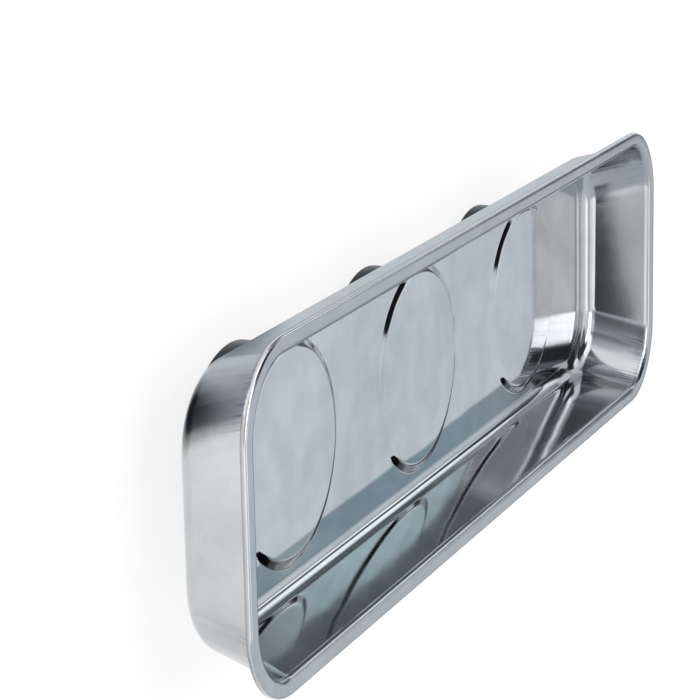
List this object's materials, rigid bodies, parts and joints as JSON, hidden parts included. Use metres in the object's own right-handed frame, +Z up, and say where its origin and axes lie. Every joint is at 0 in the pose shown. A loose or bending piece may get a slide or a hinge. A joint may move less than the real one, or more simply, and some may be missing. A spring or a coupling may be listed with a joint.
{
  "type": "magnetic parts tray",
  "caption": "Long shallow parts tray of polished stainless sheet with raised round discs in its floor, held to steel surfaces by rubber-booted ring magnets under the floor.",
  "frame": {"origin": "on the surface that the tray stands on, under the middle of the tray", "axes": "+X along the length of the tray, +Y across it, +Z up towards its open side"},
  "size_m": [0.36, 0.102, 0.043],
  "materials": {
    "stainless": "bright polished stainless sheet with faint drawing streaks",
    "rubber": "moulded black rubber, glossy sides and satin grooved face",
    "zinc_steel": "bright zinc plate",
    "spring_steel": "dull zinc plate",
    "ferrite": "dark grey sintered ceramic"
  },
  "bodies": {
    "root": {"tray_pan": "stainless", "boot_left": "rubber", "boot_centre": "rubber", "boot_right": "rubber", "cup_left": "zinc_steel", "cup_centre": "zinc_steel", "cup_right": "zinc_steel", "magnet_left": "ferrite", "magnet_centre": "ferrite", "magnet_right": "ferrite", "stud_left": "zinc_steel", "stud_centre": "zinc_steel", "stud_right": "zinc_steel", "washer_left": "zinc_steel", "washer_centre": "zinc_steel", "washer_right": "zinc_steel", "lock_washer_left": "spring_steel", "lock_washer_centre": "spring_steel", "lock_washer_right": "spring_steel", "nut_left": "zinc_steel", "nut_centre": "zinc_steel", "nut_right": "zinc_steel"}
  },
  "joints": []
}
